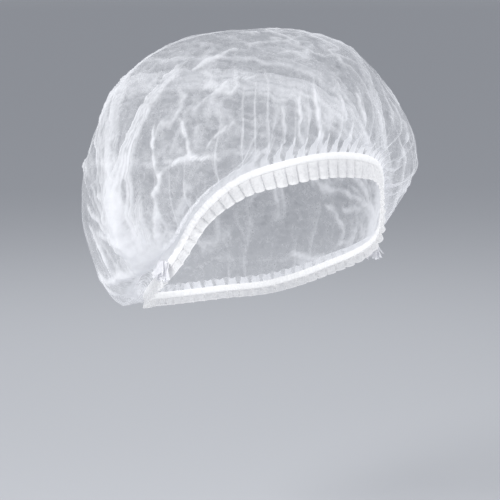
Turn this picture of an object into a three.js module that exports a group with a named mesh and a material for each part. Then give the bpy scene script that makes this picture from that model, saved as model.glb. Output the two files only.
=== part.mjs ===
// Disposable hair cover cap in its worn form: a gathered nonwoven crown, the elastic round its rim,
// the pleated hem beyond the elastic and the two welded pleat ends at the ears.
// Millimetres, +Z up, the open front toward -Y. The origin is where the top of the head bears.
import * as THREE from "three";

// Sizes of the whole cap
const crownReach = 121; // farthest that the puff stands from the upright axis
const crownHeight = 205; // top of the puff to the bottom of the back pouch
const topAboveSeat = 15; // the puff's top over the point where the head bears
const apexForward = 8; // the highest point lies this far before the upright axis

// Sizes of the pieces
const wall = 1.4; // wall of every sheet piece
const clearance = 0.3; // gap between pieces that meet
const bandWidth = 5; // elastic, measured along the sheet
const bandThickness = 2.2;
const frillDepth = 12.5; // hem beyond the elastic at the centre of the front
const weldAngle = 70; // where the welded pleat ends sit, in degrees from the front

// Gathers and pleats
const pleatCount = 70; // round the whole rim
const gatherHeight = 1.5; // how far a gather stands above or below the smooth sheet
const gatherReach = 46; // how far up the crown a gather runs
const frillWave = 1.1; // how far a hem pleat stands above or below the smooth hem
const frillFlare = 0.14; // outward lean of the hem, per length
const weldCalm = 13; // half length of rim that each weld flattens
const stitchShare = 0.2; // share of its height that a pleat keeps where the elastic holds it

// The sheet leaves the elastic along the head, then turns outward
const neckRise = 4.5;
const neckOut = 1.6;

// Sections of the crown, from the front (0 degrees) to the back (180), the same on both sides.
// "Out" is a share of crownReach from the upright axis, "down" a share of crownHeight from the top,
// "hem" a share of frillDepth.
const sections = [
  { angle: 0, hem: 1, rim: { out: 0.8, down: 0.395 }, swell: { out: 0.845, down: 0.32 },
    belly: { out: 0.87, down: 0.245 }, shoulder: { out: 0.76, down: 0.117 },
    crest: { out: 0.455, down: 0.03 } },
  { angle: 21, hem: 0.95, rim: { out: 0.813, down: 0.415 }, swell: { out: 0.868, down: 0.345 },
    belly: { out: 0.91, down: 0.27 }, shoulder: { out: 0.8, down: 0.14 },
    crest: { out: 0.5, down: 0.035 } },
  { angle: 38, hem: 0.78, rim: { out: 0.813, down: 0.463 }, swell: { out: 0.865, down: 0.415 },
    belly: { out: 0.968, down: 0.35 }, shoulder: { out: 0.84, down: 0.18 },
    crest: { out: 0.535, down: 0.042 } },
  { angle: 53, hem: 0.58, rim: { out: 0.81, down: 0.568 }, swell: { out: 0.885, down: 0.535 },
    belly: { out: 1, down: 0.473 }, shoulder: { out: 0.86, down: 0.239 },
    crest: { out: 0.56, down: 0.048 } },
  { angle: 66, hem: 0.44, rim: { out: 0.795, down: 0.732 }, swell: { out: 0.85, down: 0.685 },
    belly: { out: 0.967, down: 0.51 }, shoulder: { out: 0.876, down: 0.254 },
    crest: { out: 0.56, down: 0.052 } },
  { angle: 94, hem: 0.4, rim: { out: 0.614, down: 0.85 }, swell: { out: 0.79, down: 0.825 },
    belly: { out: 0.925, down: 0.61 }, shoulder: { out: 0.85, down: 0.283 },
    crest: { out: 0.54, down: 0.062 } },
  { angle: 127, hem: 0.4, rim: { out: 0.565, down: 0.92 }, swell: { out: 0.7, down: 0.94 },
    belly: { out: 0.92, down: 0.68 }, shoulder: { out: 0.8, down: 0.3 },
    crest: { out: 0.5, down: 0.085 } },
  { angle: 154, hem: 0.4, rim: { out: 0.578, down: 0.94 }, swell: { out: 0.74, down: 0.972 },
    belly: { out: 0.975, down: 0.7 }, shoulder: { out: 0.85, down: 0.315 },
    crest: { out: 0.52, down: 0.088 } },
  { angle: 180, hem: 0.4, rim: { out: 0.595, down: 0.95 }, swell: { out: 0.77, down: 0.99 },
    belly: { out: 1, down: 0.71 }, shoulder: { out: 0.876, down: 0.33 },
    crest: { out: 0.53, down: 0.09 } },
];

// Folds of the crown. Each runs through places given as degrees from the front and as a share of the
// way from the rim to the top, and is made on both sides.
const folds = [
  // upper and lower edge of the stacked pleats that run from weld to weld behind the top
  { line: [[73, 0.24], [80, 0.41], [97, 0.5], [115, 0.54], [150, 0.56], [179, 0.57]], height: 4.5, width: 7 },
  { line: [[70, 0.2], [76, 0.58], [83, 0.7], [92, 0.84], [120, 0.86], [150, 0.83], [179, 0.8]],
    height: 3.8, width: 7 },
  // folds of the pouch
  { line: [[76, 0.3], [93, 0.35], [105, 0.37], [125, 0.4]], height: 4, width: 6 },
  { line: [[100, 0.4], [101, 0.44], [104, 0.48], [111, 0.51]], height: 3.4, width: 5 },
  { line: [[82, 0.2], [110, 0.25], [150, 0.3]], height: 3.6, width: 6 },
  // folds of the side, before the ear
  { line: [[71, 0.3], [75, 0.62], [72, 0.7], [66, 0.77], [56, 0.8]], height: 4, width: 6 },
  { line: [[69, 0.3], [66, 0.5], [61, 0.56], [53, 0.58], [41, 0.49]], height: 3.2, width: 5.5 },
  // long gathers that run back from the front
  { line: [[44, 0.06], [22, 0.42], [17, 0.62]], height: 3, width: 5 },
  { line: [[25, 0.05], [12, 0.47], [9, 0.68]], height: 3.2, width: 5 },
  { line: [[9, 0.05], [5, 0.5], [4, 0.74]], height: 3.2, width: 5 },
];
const foldSteps = 5; // steps from one place of a fold to the next

// Rows of the crown's mesh, as places along a section: 0 is the rim, 1 the neck, 2 the swell, 3 the
// belly, 4 the shoulder, 5 the crest and 6 the top. Higher rows need fewer columns.
const columnsPerPleat = 4;
const rows = [
  { place: 0, stride: 1 }, { place: 1, stride: 1 }, { place: 1.5, stride: 1 },
  { place: 2, stride: 2 }, { place: 2.35, stride: 2 }, { place: 2.7, stride: 2 },
  { place: 3.05, stride: 2 }, { place: 3.4, stride: 2 }, { place: 3.7, stride: 2 },
  { place: 4, stride: 4 }, { place: 4.3, stride: 4 }, { place: 4.6, stride: 4 },
  { place: 4.95, stride: 4 }, { place: 5.3, stride: 4 }, { place: 5.65, stride: 4 },
];
const topPlace = 6;

const columnCount = pleatCount * columnsPerPleat;
const bandStride = 2;
const radians = Math.PI / 180;

function smooth(low, high, value) {
  return THREE.MathUtils.smoothstep(value, low, high);
}

// Every section on both sides, in order round the rim.
const middle = sections.slice(1, -1);
const round = [
  ...sections,
  ...middle.reverse().map((section) => ({ ...section, angle: -section.angle })),
];

// A closed curve through one named place of every section.
function hoop(name) {
  const points = round.map((section) => {
    const out = section[name].out * crownReach;
    const turn = section.angle * radians;
    const height = topAboveSeat - section[name].down * crownHeight;
    return new THREE.Vector3(out * Math.sin(turn), -out * Math.cos(turn), height);
  });
  return new THREE.CatmullRomCurve3(points, true, "centripetal");
}

const rim = hoop("rim");
rim.arcLengthDivisions = 2800;
const hoops = ["swell", "belly", "shoulder", "crest"].map(hoop);
const apex = new THREE.Vector3(0, -apexForward, topAboveSeat);
const hemDepths = new THREE.CatmullRomCurve3(
  round.map((section) => new THREE.Vector3(section.hem * frillDepth, 0, 0)),
  true,
);

// One column: where the rim is there, how the sheet lies on the head, and the section's curve.
function makeColumn(index) {
  const share = index / columnCount;
  const t = rim.getUtoTmapping(share);
  const point = rim.getPoint(t);
  const along = rim.getTangent(t);
  const outward = new THREE.Vector3(point.x, point.y, 0).normalize();
  outward.addScaledVector(along, -outward.dot(along)).normalize();
  const sheet = new THREE.Vector3().crossVectors(outward, along);
  const edge = point.clone().addScaledVector(sheet, bandWidth / 2 + clearance);
  const neck = edge.clone().addScaledVector(sheet, neckRise).addScaledVector(outward, neckOut);
  const far = hoops[hoops.length - 1].getPoint((t + 0.5) % 1);
  const path = [edge, neck, ...hoops.map((curve) => curve.getPoint(t)), apex, far];
  return {
    point,
    along,
    outward,
    sheet,
    angle: Math.atan2(point.x, -point.y) / radians,
    hem: hemDepths.getPoint(t).x,
    section: new THREE.CatmullRomCurve3(path, false, "centripetal"),
  };
}
const columns = Array.from({ length: columnCount }, (unused, index) => makeColumn(index));

function columnAt(index) {
  return columns[((index % columnCount) + columnCount) % columnCount];
}

function sheetPoint(index, place) {
  return columnAt(index).section.getPoint(place / (topPlace + 1));
}

function nearestColumn(angle) {
  const misses = columns.map((column) => Math.abs(column.angle - angle));
  return misses.indexOf(Math.min(...misses));
}
const welds = [nearestColumn(weldAngle), nearestColumn(-weldAngle)];

// Length of rim between a column and the nearest weld.
function weldDistance(index) {
  const steps = welds.map((weld) => {
    const apart = Math.abs(index - weld);
    return Math.min(apart, columnCount - apart);
  });
  return (Math.min(...steps) * rim.getLength()) / columnCount;
}

function calm(index) {
  return 0.15 + 0.85 * smooth(0.3 * weldCalm, weldCalm, weldDistance(index));
}

// Section of a pleat: a narrow valley, then a rounded flute.
const pleatShape = [-1, 0.55, 1, 0.55];

function pleat(index) {
  return pleatShape[index % columnsPerPleat];
}

// Uneven pleats: a share from 0 to 1 that differs from pleat to pleat.
function uneven(index) {
  const number = Math.floor((index + 1) / columnsPerPleat);
  return 0.5 + 0.5 * Math.sin(number * 2.399 + 1.3 * Math.sin(number * 0.71));
}

function gatherRelief(index, climbed) {
  const held = stitchShare + (1 - stitchShare) * smooth(0, 9, climbed);
  const reach = gatherReach * (0.6 + 0.7 * uneven(index));
  const fading = 1 - smooth(0.25 * reach, reach, climbed);
  const height = gatherHeight * (0.75 + 0.5 * uneven(index));
  return height * pleat(index) * held * fading * calm(index);
}

// Points along a fold, laid on the smooth sheet of one side.
function foldLine(fold, side) {
  const stretches = fold.line.length - 1;
  return Array.from({ length: stretches * foldSteps + 1 }, (unused, step) => {
    const stretch = Math.min(Math.floor(step / foldSteps), stretches - 1);
    const share = step / foldSteps - stretch;
    const [from, to] = fold.line.slice(stretch, stretch + 2);
    const angle = THREE.MathUtils.lerp(from[0], to[0], share);
    const up = THREE.MathUtils.lerp(from[1], to[1], share);
    return sheetPoint(nearestColumn(side * angle), up * topPlace);
  });
}

const foldLines = [1, -1].flatMap((side) => folds.map((fold) => ({
  fold,
  line: foldLine(fold, side),
})));

// How far a point lies from a line of points, and how far along the line that is.
function nearOnLine(point, line) {
  const segment = new THREE.Line3();
  const closest = new THREE.Vector3();
  let best = { distance: Infinity, share: 0 };
  for (let step = 0; step + 1 < line.length; step += 1) {
    segment.set(line[step], line[step + 1]);
    const part = segment.closestPointToPointParameter(point, true);
    const distance = segment.at(part, closest).distanceTo(point);
    if (distance < best.distance) best = { distance, share: (step + part) / (line.length - 1) };
  }
  return best;
}

function foldRelief(point) {
  let relief = 0;
  for (const { fold, line } of foldLines) {
    const { distance, share } = nearOnLine(point, line);
    const taper = smooth(0, 0.15, share + 0.02) * (1 - smooth(0.75, 1, share));
    relief += fold.height * taper * Math.exp(-((distance / fold.width) ** 2));
  }
  return relief;
}

// The smooth sheet's outward direction.
function sheetNormal(index, place) {
  const step = 0.04;
  const across = sheetPoint(index + 1, place).sub(sheetPoint(index - 1, place));
  const low = Math.max(0, place - step);
  const rise = sheetPoint(index, place + step).sub(sheetPoint(index, low));
  return across.cross(rise).normalize();
}

// A mesh that grows face by face from numbered points.
class Skin {
  constructor() {
    this.positions = [];
    this.faces = [];
  }

  add(point) {
    this.positions.push(point.x, point.y, point.z);
    return this.positions.length / 3 - 1;
  }

  quad(a, b, c, d) {
    this.faces.push(a, b, c, a, c, d);
  }

  geometry() {
    const made = new THREE.BufferGeometry();
    made.setAttribute("position", new THREE.Float32BufferAttribute(this.positions, 3));
    made.setIndex(this.faces);
    made.computeVertexNormals();
    return made;
  }
}

// Joins one row of a skin to the row above, which has as many columns or half as many.
function joinRows(skin, lower, upper, facing) {
  const ratio = lower.length / upper.length;
  upper.forEach((high, index) => {
    const next = upper[(index + 1) % upper.length];
    const a = lower[index * ratio];
    const b = lower[(index * ratio + 1) % lower.length];
    const faces = [[a, b, high], [b, next, high]];
    if (ratio === 2) faces.push([b, lower[(index * ratio + 2) % lower.length], next]);
    faces.forEach((face) => skin.faces.push(...(facing > 0 ? face : face.reverse())));
  });
}

function closeTop(skin, row, top, facing) {
  row.forEach((corner, index) => {
    const face = [corner, row[(index + 1) % row.length], top];
    skin.faces.push(...(facing > 0 ? face : face.reverse()));
  });
}

// Joins the outer and inner edge of a sheet. The edge faces down where facing is 1.
function closeEdge(skin, outer, inner, facing) {
  outer.forEach((corner, index) => {
    const next = (index + 1) % outer.length;
    const quad = [corner, inner[index], inner[next], outer[next]];
    skin.quad(...(facing > 0 ? quad : quad.reverse()));
  });
}

function crownGeometry() {
  const skin = new Skin();
  const outer = [];
  const inner = [];
  const climbed = new Array(columnCount).fill(0);
  rows.forEach(({ place, stride }, rowIndex) => {
    const outerRow = [];
    const innerRow = [];
    for (let index = 0; index < columnCount; index += stride) {
      const smoothPoint = sheetPoint(index, place);
      if (rowIndex > 0) {
        climbed[index] += smoothPoint.distanceTo(sheetPoint(index, rows[rowIndex - 1].place));
      }
      const normal = place === 0 ? columnAt(index).outward : sheetNormal(index, place);
      const away = smooth(0, 12, climbed[index]);
      const relief = gatherRelief(index, climbed[index]) + away * foldRelief(smoothPoint);
      const skinPoint = smoothPoint.clone().addScaledVector(normal, relief);
      outerRow.push(skin.add(skinPoint));
      innerRow.push(skin.add(skinPoint.clone().addScaledVector(normal, -wall)));
    }
    outer.push(outerRow);
    inner.push(innerRow);
  });
  for (let row = 0; row + 1 < rows.length; row += 1) {
    joinRows(skin, outer[row], outer[row + 1], 1);
    joinRows(skin, inner[row], inner[row + 1], -1);
  }
  closeTop(skin, outer[rows.length - 1], skin.add(apex), 1);
  const underTop = apex.clone().setZ(apex.z - wall);
  closeTop(skin, inner[rows.length - 1], skin.add(underTop), -1);
  closeEdge(skin, outer[0], inner[0], 1);
  return skin.geometry();
}

// A point beside the rim: so far down the hem side and so far outward.
function besideRim(column, down, outward) {
  return column.point
    .clone()
    .addScaledVector(column.sheet, -down)
    .addScaledVector(column.outward, outward);
}

// The elastic lies centred on the sheet's wall.
const bandOuter = (bandThickness - wall) / 2;
const bandInner = bandOuter - bandThickness;

function bandGeometry() {
  const skin = new Skin();
  const corners = [[-1, bandOuter], [-1, bandInner], [1, bandInner], [1, bandOuter]];
  const rings = corners.map(([side, outward]) => columns
    .filter((unused, index) => index % bandStride === 0)
    .map((column) => skin.add(besideRim(column, (side * bandWidth) / 2, outward))));
  rings.forEach((ring, index) => {
    const other = rings[(index + 1) % rings.length];
    closeEdge(skin, ring, other, -1);
  });
  return skin.geometry();
}

const frillRows = [0, 1];

function frillPoint(index, share, depthInWall) {
  const column = columnAt(index);
  const down = share * column.hem;
  const held = THREE.MathUtils.lerp(stitchShare, 1, share);
  const height = frillWave * (0.8 + 0.4 * uneven(index)) * held * calm(index);
  const outward = frillFlare * down + height * pleat(index) - depthInWall;
  return besideRim(column, bandWidth / 2 + clearance + down, outward);
}

function frillGeometry() {
  const skin = new Skin();
  const ring = (share, depth) => columns.map(
    (unused, index) => skin.add(frillPoint(index, share, depth)),
  );
  const outer = frillRows.map((share) => ring(share, 0));
  const inner = frillRows.map((share) => ring(share, wall));
  for (let row = 0; row + 1 < frillRows.length; row += 1) {
    joinRows(skin, outer[row], outer[row + 1], -1);
    joinRows(skin, inner[row], inner[row + 1], 1);
  }
  closeEdge(skin, outer[0], inner[0], -1);
  closeEdge(skin, outer[frillRows.length - 1], inner[frillRows.length - 1], 1);
  return skin.geometry();
}

// A welded pleat end: a small crimped fan that hangs over the elastic's outer face.
const tuftLength = 12;
const tuftTopWidth = 7;
const tuftEndWidth = 13;
const tuftCrimps = 6;
const tuftCrimpHeight = 0.8;
const tuftLean = 0.3; // outward lean, per length
const tuftRows = [0, 0.35, 0.7, 1];

function tuftGeometry(weld) {
  const skin = new Skin();
  const column = columnAt(weld);
  const down = new THREE.Vector3(0, 0, -1);
  down.addScaledVector(column.outward, -down.dot(column.outward)).normalize();
  const across = new THREE.Vector3().crossVectors(column.outward, down);
  const seat = bandOuter + clearance + tuftCrimpHeight;
  const sides = [wall, 0].map((lift) => tuftRows.map((share) => {
    const width = THREE.MathUtils.lerp(tuftTopWidth, tuftEndWidth, share);
    return Array.from({ length: tuftCrimps + 1 }, (unused, step) => {
      const sideways = (step / tuftCrimps - 0.5) * width;
      const crimp = (step % 2 === 0 ? -1 : 1) * tuftCrimpHeight;
      const reach = share * tuftLength - bandWidth / 2;
      return skin.add(column.point
        .clone()
        .addScaledVector(across, sideways)
        .addScaledVector(down, reach)
        .addScaledVector(column.outward, seat + crimp + lift + tuftLean * share * tuftLength));
    });
  }));
  const [outer, inner] = sides;
  const end = tuftRows.length - 1;
  for (let row = 0; row < end; row += 1) {
    for (let step = 0; step < tuftCrimps; step += 1) {
      skin.quad(outer[row][step], outer[row + 1][step], outer[row + 1][step + 1], outer[row][step + 1]);
      skin.quad(inner[row][step], inner[row][step + 1], inner[row + 1][step + 1], inner[row + 1][step]);
    }
    skin.quad(outer[row][0], inner[row][0], inner[row + 1][0], outer[row + 1][0]);
    skin.quad(outer[row][tuftCrimps], outer[row + 1][tuftCrimps], inner[row + 1][tuftCrimps],
      inner[row][tuftCrimps]);
  }
  for (let step = 0; step < tuftCrimps; step += 1) {
    skin.quad(outer[0][step], outer[0][step + 1], inner[0][step + 1], inner[0][step]);
    skin.quad(outer[end][step], inner[end][step], inner[end][step + 1], outer[end][step + 1]);
  }
  return skin.geometry();
}

const nonwoven = new THREE.MeshStandardMaterial({ color: "#e3e5ea", roughness: 0.86, metalness: 0 });
const elastic = new THREE.MeshStandardMaterial({ color: "#fbf9f8", roughness: 0.7, metalness: 0 });
const hem = new THREE.MeshStandardMaterial({ color: "#f1efef", roughness: 0.82, metalness: 0 });
const weldedEnd = new THREE.MeshStandardMaterial({ color: "#eeeef2", roughness: 0.6, metalness: 0 });

const group = new THREE.Group();
group.name = "hair_cover_cap";

function addPiece(name, geometry, material) {
  const mesh = new THREE.Mesh(geometry, material);
  mesh.name = name;
  group.add(mesh);
}

addPiece("crown", crownGeometry(), nonwoven);
addPiece("elastic_band", bandGeometry(), elastic);
addPiece("frill", frillGeometry(), hem);
addPiece("weld_tuft_left", tuftGeometry(welds[0]), weldedEnd);
addPiece("weld_tuft_right", tuftGeometry(welds[1]), weldedEnd.clone());

export default group;
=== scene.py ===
import math

import bpy
import numpy as np
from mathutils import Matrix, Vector, noise


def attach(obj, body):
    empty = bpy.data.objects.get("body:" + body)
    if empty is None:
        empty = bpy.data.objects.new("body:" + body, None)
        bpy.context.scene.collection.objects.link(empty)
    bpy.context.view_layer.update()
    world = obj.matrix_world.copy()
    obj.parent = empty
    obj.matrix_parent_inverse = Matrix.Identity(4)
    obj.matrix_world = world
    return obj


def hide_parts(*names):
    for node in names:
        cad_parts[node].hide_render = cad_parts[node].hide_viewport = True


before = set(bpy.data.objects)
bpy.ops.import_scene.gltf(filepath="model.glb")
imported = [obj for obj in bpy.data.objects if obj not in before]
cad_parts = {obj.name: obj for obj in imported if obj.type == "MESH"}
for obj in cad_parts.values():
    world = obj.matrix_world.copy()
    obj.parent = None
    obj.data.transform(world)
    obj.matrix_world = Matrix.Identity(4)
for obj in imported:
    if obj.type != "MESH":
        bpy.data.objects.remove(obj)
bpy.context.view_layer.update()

# Sizes shared with the solids
CROWN_REACH = 0.121
CROWN_HEIGHT = 0.205
TOP_ABOVE_SEAT = 0.015
APEX_FORWARD = 0.008
BAND_WIDTH = 0.005
BAND_THICKNESS = 0.0022
WALL = 0.0014
CLEARANCE = 0.0003
NECK_RISE = 0.0045
NECK_OUT = 0.0016
FRILL_DEPTH = 0.0125
FRILL_FLARE = 0.14
PLEATS = 70
WELD_ANGLE = 70

# Sections from the front (0 degrees) to the back (180), the same on both sides. Each pair is a share
# of CROWN_REACH from the upright axis and a share of CROWN_HEIGHT from the top.
# angle, hem as a share of FRILL_DEPTH, rim, swell, belly, shoulder, crest
SECTIONS = [
    (0, 1.0, (0.8, 0.395), (0.845, 0.32), (0.87, 0.245), (0.76, 0.117), (0.455, 0.03)),
    (21, 0.95, (0.813, 0.415), (0.868, 0.345), (0.91, 0.27), (0.8, 0.14), (0.5, 0.035)),
    (38, 0.78, (0.813, 0.463), (0.865, 0.415), (0.968, 0.35), (0.84, 0.18), (0.535, 0.042)),
    (53, 0.58, (0.81, 0.568), (0.885, 0.535), (1.0, 0.473), (0.86, 0.239), (0.56, 0.048)),
    (66, 0.44, (0.795, 0.732), (0.85, 0.685), (0.967, 0.51), (0.876, 0.254), (0.56, 0.052)),
    (94, 0.4, (0.614, 0.85), (0.79, 0.825), (0.925, 0.61), (0.85, 0.283), (0.54, 0.062)),
    (127, 0.4, (0.565, 0.92), (0.7, 0.94), (0.92, 0.68), (0.8, 0.3), (0.5, 0.085)),
    (154, 0.4, (0.578, 0.94), (0.74, 0.972), (0.975, 0.7), (0.85, 0.315), (0.52, 0.088)),
    (180, 0.4, (0.595, 0.95), (0.77, 0.99), (1.0, 0.71), (0.876, 0.33), (0.53, 0.09)),
]
RIM, SWELL, BELLY, SHOULDER, CREST = 2, 3, 4, 5, 6
TOP_PLACE = 6  # places on the sheet run from 0 at the rim, over neck and hoops, to this at the top
TUCK = 0.0006  # how far the sheet and the hem run in under the elastic's edge

# The sheet's mesh
COLUMNS = PLEATS * 10
ROWS_PER_PART = (6, 16, 32, 38, 30, 26)  # rim to neck, swell, belly, shoulder, crest and top
HALVE_AT = 4.1  # above this place the sheet has half as many columns
RIM_SAMPLES = 5601  # points on which the rim's length is measured
NUDGE = 1e-5  # share of the rim between a column and the points that give its direction

# Chance and noise, the same at every run
PLEAT_FACTOR, SEED_FACTOR, SCATTER = 12.9898, 78.233, 43758.5453
FIELD_STEP = 17.3  # how far one seed's noise lies from the next one's
FRACTAL = (0.9, 2.1)  # dimension and rise of its octaves


def smooth(low, high, value):
    """0 up to the low value, 1 from the high value on, and a smooth step between them."""
    share = np.clip((np.asarray(value, float) - low) / (high - low), 0, 1)
    return share * share * (3 - 2 * share)


def window(start, end, value):
    """1 between a start and an end, each a pair of values over which it grows or fades."""
    return smooth(*start, value) * (1 - smooth(*end, value))


def bell(distance, width):
    """1 at no distance, and nearly 0 from twice the width on."""
    return np.exp(-((distance / width) ** 2))


def drawn(limits, share):
    """A value from a pair: what it is at share 0, and what share 1 adds to it."""
    least, added = limits
    return least + added * share


def between(points, share):
    """Points on one stretch of a smooth curve, between the second and third of four points."""
    before, first, second, after = points
    steps = [
        np.sqrt(np.linalg.norm(b - a, axis=-1, keepdims=True))
        for a, b in ((before, first), (first, second), (second, after))
    ]
    leave = (first - before) / steps[0] - (second - before) / (steps[0] + steps[1])
    leave = (leave + (second - first) / steps[1]) * steps[1]
    arrive = (second - first) / steps[1] - (after - first) / (steps[1] + steps[2])
    arrive = (arrive + (after - second) / steps[2]) * steps[1]
    rise = second - first
    return first + share * (
        leave + share * ((3 * rise - 2 * leave - arrive) + share * (leave + arrive - 2 * rise))
    )


def loop_points(corners, where):
    """Points on a closed smooth curve through the corners, at shares of its way round."""
    corners = np.asarray(corners, float)
    count = len(corners)
    place = np.asarray(where) * count
    index = np.floor(place).astype(int)
    share = (place - index)[..., None]
    return between([corners[(index + step) % count] for step in (-1, 0, 1, 2)], share)


def round_the_rim():
    """The sections all the way round, from the front over the wearer's left."""
    others = SECTIONS[-2:0:-1]
    return SECTIONS + [(-section[0],) + section[1:] for section in others]


def hoop(part):
    """The corners of one hoop of the crown."""
    corners = []
    for section in round_the_rim():
        turn = math.radians(section[0])
        out = section[part][0] * CROWN_REACH
        height = TOP_ABOVE_SEAT - section[part][1] * CROWN_HEIGHT
        corners.append((out * math.sin(turn), -out * math.cos(turn), height))
    return np.array(corners)


def unit(vectors):
    return vectors / np.linalg.norm(vectors, axis=-1, keepdims=True)


# Pleats are pressed over these metres of rim beside a weld, and grow from this share of them on.
WELD_CALM, WELD_CALM_FROM, PRESSED_PLEATS = 0.013, 0.3, (0.15, 0.85)


class Rim:
    """The rim in evenly spaced columns, with the way that the sheet lies on the head at each."""

    def __init__(self, count):
        corners = hoop(RIM)
        fine = np.linspace(0, 1, RIM_SAMPLES)
        steps = np.linalg.norm(np.diff(loop_points(corners, fine), axis=0), axis=1)
        lengths = np.concatenate([[0], np.cumsum(steps)])
        self.count = count
        self.length = lengths[-1]
        self.where = np.interp(np.arange(count) / count * self.length, lengths, fine)
        self.point = loop_points(corners, self.where)
        ahead = loop_points(corners, self.where + NUDGE)
        behind = loop_points(corners, self.where - NUDGE)
        along = unit(ahead - behind)
        radial = unit(self.point * (1, 1, 0))
        lean = (radial * along).sum(1, keepdims=True)
        self.outward = unit(radial - along * lean)
        self.sheet = np.cross(self.outward, along)
        self.angle = np.degrees(np.arctan2(self.point[:, 0], -self.point[:, 1]))
        hems = [section[1] * FRILL_DEPTH for section in round_the_rim()]
        self.hem = np.interp(self.where * len(hems), np.arange(len(hems) + 1), hems + hems[:1])
        self.pleat = np.arange(count) / count * PLEATS

    def beside(self, down, outward):
        """Points beside the rim, so far down the hem side and so far outward."""
        return self.point - self.sheet * down + self.outward * outward

    def weld_column(self, side):
        """The column of the weld on the wearer's left (1) or right (-1)."""
        return np.argmin(np.abs(self.angle - side * WELD_ANGLE))

    def weld_distance(self):
        """Length of rim from each column to the nearest weld."""
        shares = np.arange(self.count) / self.count
        apart = [np.abs(shares - shares[self.weld_column(side)]) for side in (1, -1)]
        apart = [np.minimum(step, 1 - step) for step in apart]
        return np.minimum(*apart) * self.length

    def boldness(self):
        """How boldly the pleats stand at each column."""
        away = smooth(WELD_CALM_FROM * WELD_CALM, WELD_CALM, self.weld_distance())
        return drawn(PRESSED_PLEATS, away)


def smooth_sheet(rim, places):
    """The sheet without its folds: a row of points for each place, with the rim's columns."""
    edge = rim.beside(TUCK - BAND_WIDTH / 2, 0)
    neck = edge + rim.sheet * NECK_RISE + rim.outward * NECK_OUT
    hoops = [loop_points(hoop(part), rim.where) for part in (SWELL, BELLY, SHOULDER, CREST)]
    far = loop_points(hoop(CREST), (rim.where + 0.5) % 1)
    apex = np.tile((0, -APEX_FORWARD, TOP_ABOVE_SEAT), (rim.count, 1))
    path = [2 * edge - neck, edge, neck, *hoops, apex, far]
    grid = []
    for place in places:
        index = min(int(place), TOP_PLACE - 1)
        grid.append(between(path[index : index + 4], place - index))
    return np.array(grid)


def grid_normals(grid):
    across = np.roll(grid, -1, axis=1) - np.roll(grid, 1, axis=1)
    normals = np.cross(across, np.gradient(grid, axis=0))
    return unit(normals)


def part_places():
    """The place of each row of the sheet."""
    places = []
    for part, rows in enumerate(ROWS_PER_PART):
        places += [part + row / rows for row in range(rows)]
    return np.array(places)


def pleat_random(pleat, seed):
    """A number from 0 to 1 for each pleat, the same at every run."""
    whole = np.floor(pleat)
    mixed = np.sin(whole * PLEAT_FACTOR + seed * SEED_FACTOR) * SCATTER
    return mixed - np.floor(mixed)


def chances(number, seeds):
    return [float(pleat_random(number, seed)) for seed in seeds]


def field(points, size, seed, octaves=1):
    """Smooth noise from about -1 to 1 over the points, with lumps of the size given in metres."""
    flat = points.reshape(-1, 3) / size + seed * FIELD_STEP
    if octaves == 1:
        values = [noise.noise(Vector(point)) for point in flat]
    else:
        values = [noise.fractal(Vector(point), *FRACTAL, octaves) for point in flat]
    return np.array(values).reshape(points.shape[:-1])


def crease_lines(points, size, seed, octaves, narrow, power):
    """An irregular net of thin lines: 1 on them and 0 beside them."""
    lines = 1 - np.abs(field(points, size, seed, octaves)) * narrow
    return np.clip(lines, 0, 1) ** power


# Folds of the sheet. Each has a height as a share of FOLD_HEIGHT, the number of sheets that it adds,
# the sides that it is on, and its line: degrees from the front, share of the way from the rim to the
# top, and half width as a share of FOLD_WIDTH. A side of -1 mirrors it to the wearer's right.
FOLD_WIDTH = 0.0085
FOLD_HEIGHT = 0.004
BOTH = (1, -1)
RIGHT = (-1,)
AS_GIVEN = (1,)
FAR_SHARE = 0.45  # how bold the folds of the wearer's left are against those of the right
STRIPS = [
    # the broad stack of pleats from the weld up behind the ear
    (0.7, 1.8, BOTH, [
        (72, 0.06, 1.2), (76, 0.3, 1.2), (80, 0.46, 1.2), (80, 0.54, 1.25), (79, 0.6, 0.8),
        (77, 0.66, 0.55), (75, 0.7, 0.5), (73, 0.73, 0.5), (68, 0.76, 0.5), (66, 0.79, 0.4),
        (60, 0.79, 0.3)]),
    # the broad stack that runs from weld to weld across the back
    (0.5, 1.05, RIGHT, [
        (75, 0.1, 0.9), (80, 0.36, 1.0), (88, 0.54, 1.2), (98, 0.62, 1.3), (112, 0.68, 1.3),
        (135, 0.72, 1.2), (180, 0.74, 1.0), (225, 0.72, 1.2), (248, 0.68, 1.3), (262, 0.62, 1.3),
        (272, 0.54, 1.2), (280, 0.36, 1.0), (285, 0.1, 0.9)]),
    # a narrower stack that leaves the first one towards the back
    (0.4, 0.8, BOTH, [
        (80, 0.46, 0.5), (88, 0.62, 0.6), (102, 0.76, 0.6), (125, 0.84, 0.5), (150, 0.86, 0.3)]),
    # a short step beside the first stack
    (0.5, 1.0, BOTH, [(70, 0.12, 0.7), (72, 0.34, 0.7), (73, 0.47, 0.55), (73, 0.54, 0.3)]),
]
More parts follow.
